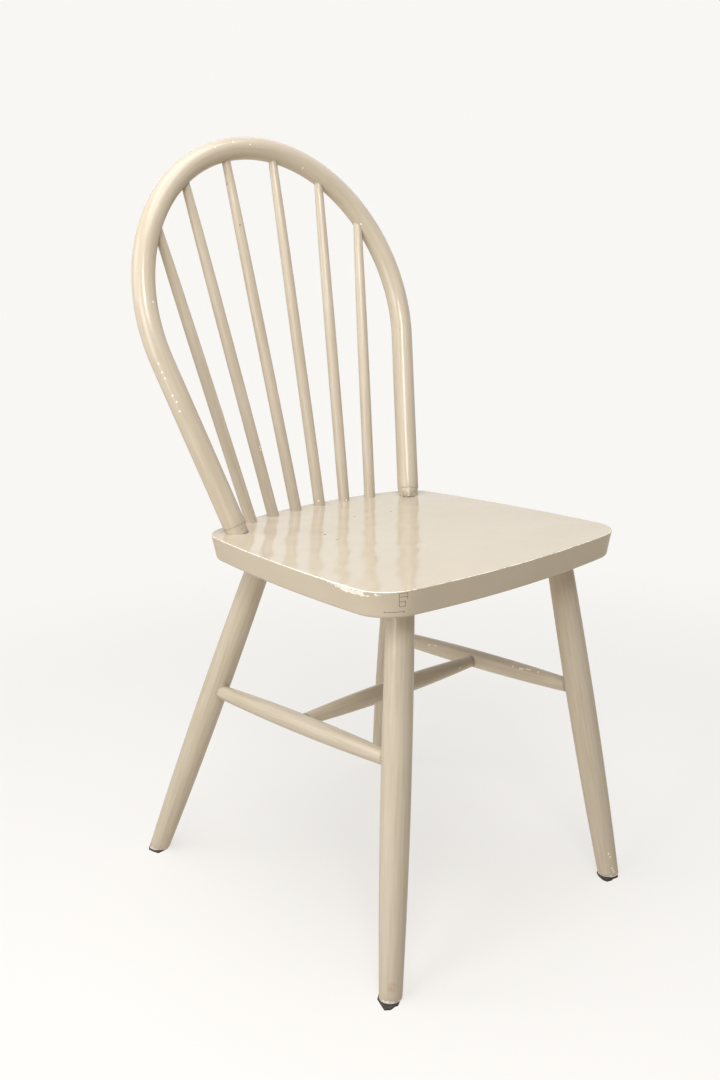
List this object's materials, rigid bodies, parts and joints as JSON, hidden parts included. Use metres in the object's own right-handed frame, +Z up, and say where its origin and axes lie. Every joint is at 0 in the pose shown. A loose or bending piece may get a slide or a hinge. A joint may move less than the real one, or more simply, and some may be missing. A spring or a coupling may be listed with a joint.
{
  "type": "dining chair",
  "caption": "Bow-back dining chair in painted wood: solid seat, bent hoop back with slender spindles, splayed turned legs, an H stretcher and felt foot pads.",
  "frame": {"origin": "on the floor, under the middle of the bounding box", "axes": "+Z up, the sitter faces -Y, +X towards the sitter's left"},
  "size_m": [0.4256, 0.4898, 0.9103],
  "materials": {
    "seat": "satin taupe paint, chipped at the edges",
    "bow": "satin taupe paint, chipped at the edges",
    "spindles": "satin taupe paint, chipped at the edges",
    "legs": "satin taupe paint, chipped at the edges",
    "stretchers": "satin taupe paint, chipped at the edges",
    "pads": "dark brown felt"
  },
  "bodies": {
    "root": {"seat": "seat", "bow": "bow", "spindle_1": "spindles", "spindle_2": "spindles", "spindle_3": "spindles", "spindle_4": "spindles", "spindle_5": "spindles", "spindle_6": "spindles", "leg_front_right": "legs", "leg_front_left": "legs", "leg_rear_right": "legs", "leg_rear_left": "legs", "side_stretcher_right": "stretchers", "side_stretcher_left": "stretchers", "cross_stretcher": "stretchers", "pad_front_right": "pads", "pad_front_left": "pads", "pad_rear_right": "pads", "pad_rear_left": "pads"}
  },
  "joints": []
}
